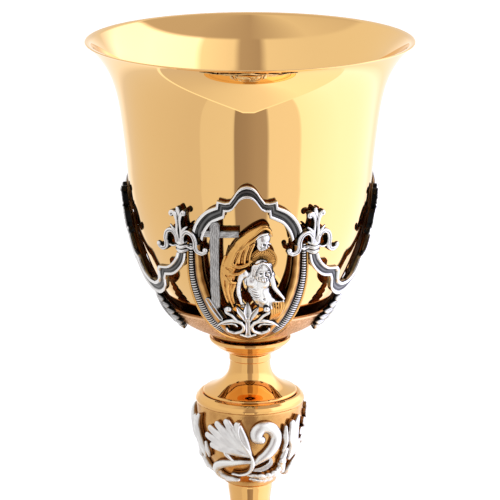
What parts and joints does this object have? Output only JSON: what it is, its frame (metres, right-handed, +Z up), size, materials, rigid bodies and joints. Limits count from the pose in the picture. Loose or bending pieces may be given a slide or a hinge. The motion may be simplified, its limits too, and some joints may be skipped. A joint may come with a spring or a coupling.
{
  "type": "communion chalice",
  "caption": "Flared gilt cup in an openwork cradle of oval relief medallions, knots and swags, on a vase-shaped knop with acanthus scrolls and a bell-shaped foot.",
  "frame": {"origin": "centre of the foot's underside, on the surface that the chalice stands on", "axes": "+Z up the stem's axis towards the cup; -Y faces the front medallion; +X to the viewer's right"},
  "size_m": [0.145, 0.145, 0.245],
  "materials": {
    "polished_gold": "mirror-polished gilt brass",
    "antique_gold": "satin antique gilding with darkened recesses",
    "oxidised_silver": "silver-plated casting, oxidised dark in the recesses and bright on the ridges",
    "bright_silver": "silver-plated casting, frosted and bright",
    "plain_brass": "plain machined brass"
  },
  "bodies": {
    "root": {"cup": "polished_gold", "cup_stud": "plain_brass", "cradle_hub": "antique_gold", "dish": "polished_gold", "upper_spool": "polished_gold", "knop": "antique_gold", "lower_spool": "polished_gold", "foot_dome": "polished_gold", "foot_rim": "polished_gold", "tie_rod": "plain_brass", "tie_washer": "plain_brass", "tie_nut": "plain_brass", "medallion_frame_1": "oxidised_silver", "medallion_ring_1": "antique_gold", "cross_1": "oxidised_silver", "veiled_figure_1": "antique_gold", "halo_1": "antique_gold", "seated_figure_1": "bright_silver", "palmette_1": "bright_silver", "knot_left_1": "bright_silver", "knot_right_1": "bright_silver", "swag_1": "bright_silver", "leaf_1": "bright_silver", "gore_1": "antique_gold", "knop_acanthus_1": "bright_silver", "foot_acanthus_1": "bright_silver", "medallion_frame_2": "oxidised_silver", "medallion_ring_2": "antique_gold", "cross_2": "oxidised_silver", "veiled_figure_2": "antique_gold", "halo_2": "antique_gold", "seated_figure_2": "bright_silver", "palmette_2": "bright_silver", "knot_left_2": "bright_silver", "knot_right_2": "bright_silver", "swag_2": "bright_silver", "leaf_2": "bright_silver", "gore_2": "antique_gold", "knop_acanthus_2": "bright_silver", "foot_acanthus_2": "bright_silver", "medallion_frame_3": "oxidised_silver", "medallion_ring_3": "antique_gold", "cross_3": "oxidised_silver", "veiled_figure_3": "antique_gold", "halo_3": "antique_gold", "seated_figure_3": "bright_silver", "palmette_3": "bright_silver", "knot_left_3": "bright_silver", "knot_right_3": "bright_silver", "swag_3": "bright_silver", "leaf_3": "bright_silver", "gore_3": "antique_gold", "knop_acanthus_3": "bright_silver", "foot_acanthus_3": "bright_silver"}
  },
  "joints": []
}
